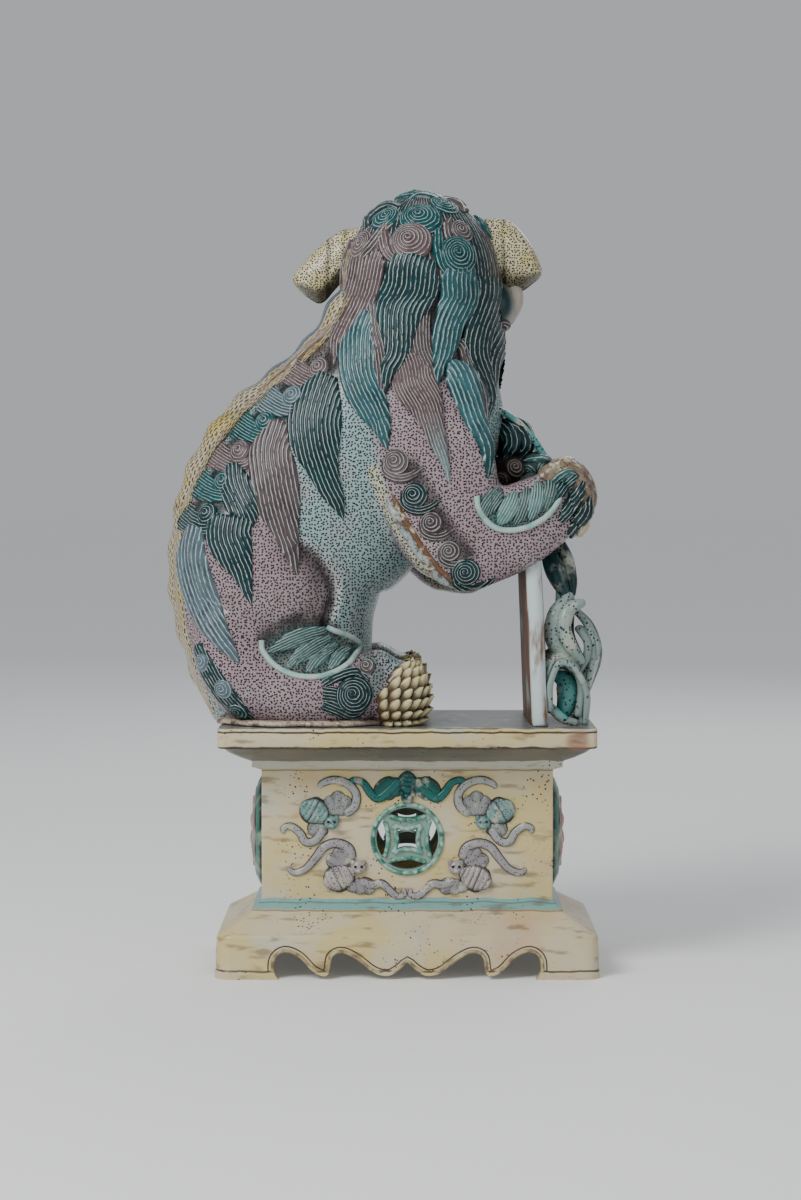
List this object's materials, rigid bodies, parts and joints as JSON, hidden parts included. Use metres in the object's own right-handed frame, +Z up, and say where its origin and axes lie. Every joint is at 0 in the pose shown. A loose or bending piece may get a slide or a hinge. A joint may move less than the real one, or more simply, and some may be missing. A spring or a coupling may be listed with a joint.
{
  "type": "porcelain foo dog figure",
  "caption": "Seated guardian lion with its head turned back and its forepaws on a ball, on a pierced, waisted oblong plinth; a standing ornament.",
  "frame": {"origin": "on the ground, under the middle of the whole figure's bounding box", "axes": "+Z up; +X the way the lion's body faces; +Y the way its head is turned"},
  "size_m": [0.261, 0.135, 0.464],
  "materials": {
    "yellow_glaze": "glossy cream-yellow lead glaze on biscuit, with turquoise fillets and dark brown lines",
    "lion_glaze": "glossy aubergine, celadon, teal and cream lead glazes on biscuit, with black speckling"
  },
  "bodies": {
    "root": {"plinth": "yellow_glaze", "lion_figure": "lion_glaze"}
  },
  "joints": []
}
